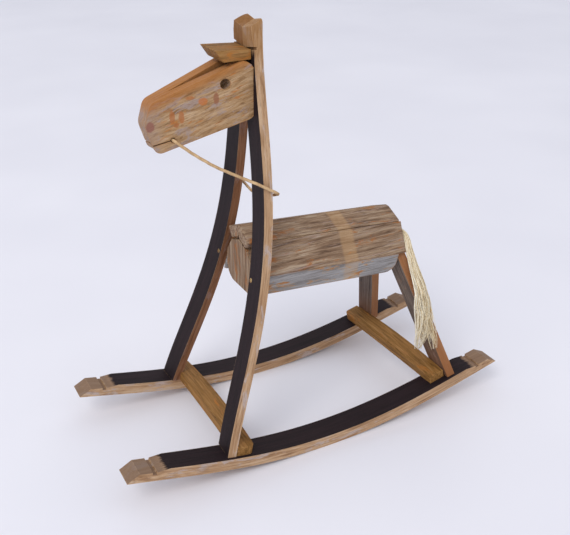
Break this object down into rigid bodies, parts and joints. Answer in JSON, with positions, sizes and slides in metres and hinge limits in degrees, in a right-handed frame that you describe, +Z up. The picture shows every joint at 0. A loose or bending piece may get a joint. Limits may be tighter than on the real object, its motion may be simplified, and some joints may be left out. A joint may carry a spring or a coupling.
{
  "type": "rocking horse",
  "caption": "Child's rocking horse made of bent barrel staves: stave rockers, a tall stave neck with a boxed head, a hollow boarded body, splayed rear legs, a rope rein and a raffia tail.",
  "frame": {"origin": "on the floor, midway between the two rockers, under the middle of their length", "axes": "+X towards the nose, +Y to the horse's left, +Z up"},
  "size_m": [0.9358, 0.396, 0.9108],
  "materials": {
    "wine_stained_oak": "matt, stained nearly black by wine on the hollow face, tan on the edges",
    "weathered_oak": "matt, silvered and brown open grain",
    "painted_oak": "matt, worn blue-grey paint over oak",
    "pale_oak": "satin, sanded oak with grey and rust-red marks",
    "warm_oak": "satin, oiled orange-brown oak",
    "brass_screw": "dull brass",
    "rope": "twisted sisal rope",
    "raffia": "loose raffia strands"
  },
  "bodies": {
    "root": {"rocker_left": "wine_stained_oak", "rocker_right": "wine_stained_oak", "neck_stave_left": "wine_stained_oak", "neck_stave_right": "wine_stained_oak", "front_crossbar": "warm_oak", "rear_crossbar": "warm_oak", "rear_leg_left": "warm_oak", "rear_leg_right": "warm_oak", "saddle_board_left": "weathered_oak", "saddle_board_right": "weathered_oak", "flank_board_left": "weathered_oak", "flank_board_right": "weathered_oak", "belly_board_left": "painted_oak", "belly_board_right": "painted_oak", "front_bulkhead": "weathered_oak", "rear_bulkhead": "weathered_oak", "cheek_left": "pale_oak", "cheek_right": "pale_oak", "poll_board": "warm_oak", "rein": "rope", "tail": "raffia", "neck_screw_left": "brass_screw", "neck_screw_right": "brass_screw", "foot_screw_left": "brass_screw", "foot_screw_right": "brass_screw", "front_bar_screw_left": "brass_screw", "front_bar_screw_right": "brass_screw", "rear_bar_screw_left": "brass_screw", "rear_bar_screw_right": "brass_screw", "cheek_screw_left": "brass_screw", "cheek_screw_right": "brass_screw"}
  },
  "joints": []
}
